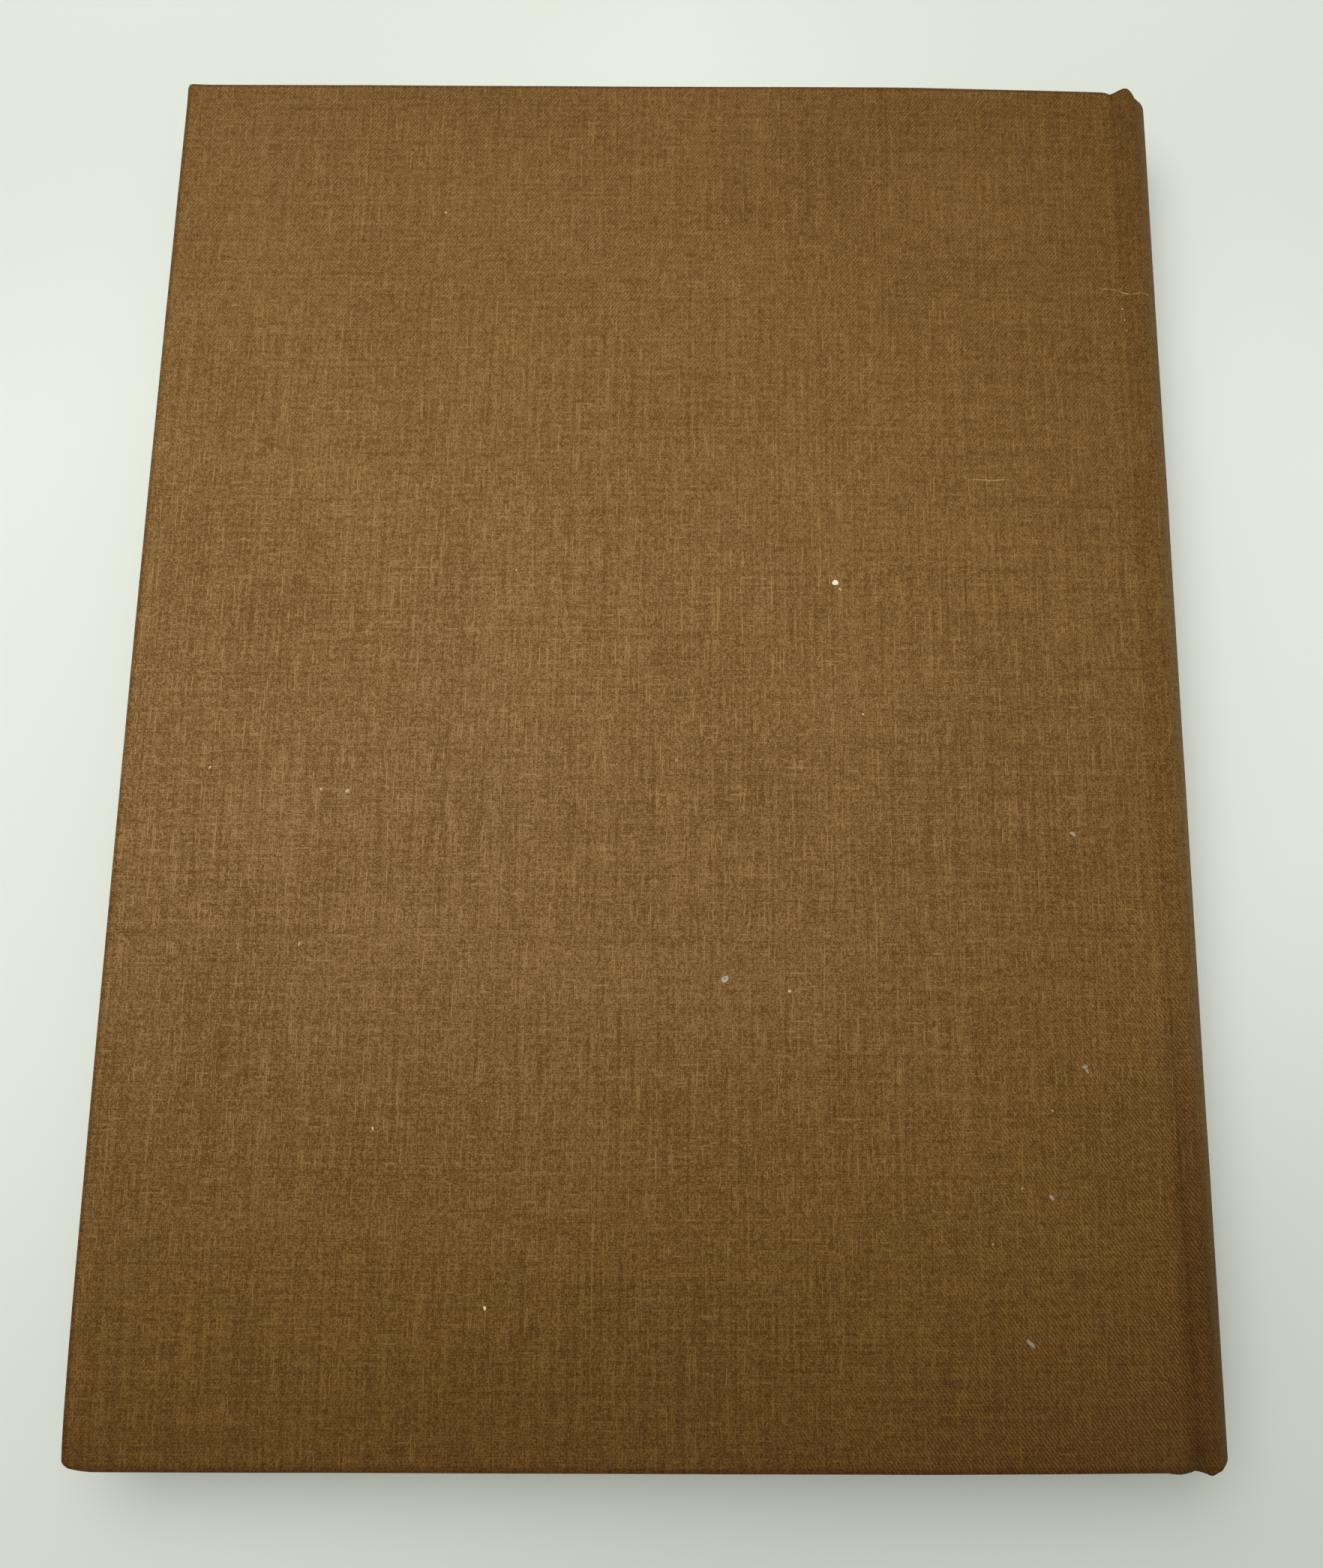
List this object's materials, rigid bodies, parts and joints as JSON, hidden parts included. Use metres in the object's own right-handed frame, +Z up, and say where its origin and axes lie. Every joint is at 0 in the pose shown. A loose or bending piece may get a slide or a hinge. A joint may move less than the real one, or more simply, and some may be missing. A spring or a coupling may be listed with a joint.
{
  "type": "hardback book",
  "caption": "Plain cloth-bound hardback book lying closed, with a rounded spine, grooved joints and covers that open.",
  "frame": {"origin": "middle of the footprint, on the surface that the closed book lies on", "axes": "+Z up, out of the back cover; +Y towards the head of the book; +X towards the spine"},
  "size_m": [0.218, 0.2912, 0.02],
  "materials": {
    "book_cloth": "plain weave linen book cloth, matt, a little faded and rubbed",
    "page_paper": "cut edges of cream book paper",
    "end_paper": "uncoated cream endpaper",
    "binders_board": "grey pressed board",
    "spine_paper": "brown lining paper",
    "gauze": "open starched gauze under glue",
    "band_thread": "woven cord with a plain thread"
  },
  "bodies": {
    "pages": {"text_block": "page_paper", "mull": "gauze", "spine_lining": "spine_paper", "spine_inlay": "spine_paper", "spine_cloth": "book_cloth", "head_band": "band_thread", "tail_band": "band_thread", "back_flyleaf": "end_paper", "front_flyleaf": "end_paper"},
    "back_cover": {"back_board": "binders_board", "back_cloth": "book_cloth", "back_pastedown": "end_paper"},
    "front_cover": {"front_board": "binders_board", "front_cloth": "book_cloth", "front_pastedown": "end_paper"}
  },
  "joints": [
    {"name": "back_cover_hinge", "type": "hinge", "parent": "pages", "child": "back_cover", "pos_m": [0.10385, 0, 0.0196], "axis": [0, 1, 0], "range_deg": [0, 178]},
    {"name": "front_cover_hinge", "type": "hinge", "parent": "pages", "child": "front_cover", "pos_m": [0.10385, 0, 0.0004], "axis": [0, -1, 0], "range_deg": [0, 178]}
  ]
}
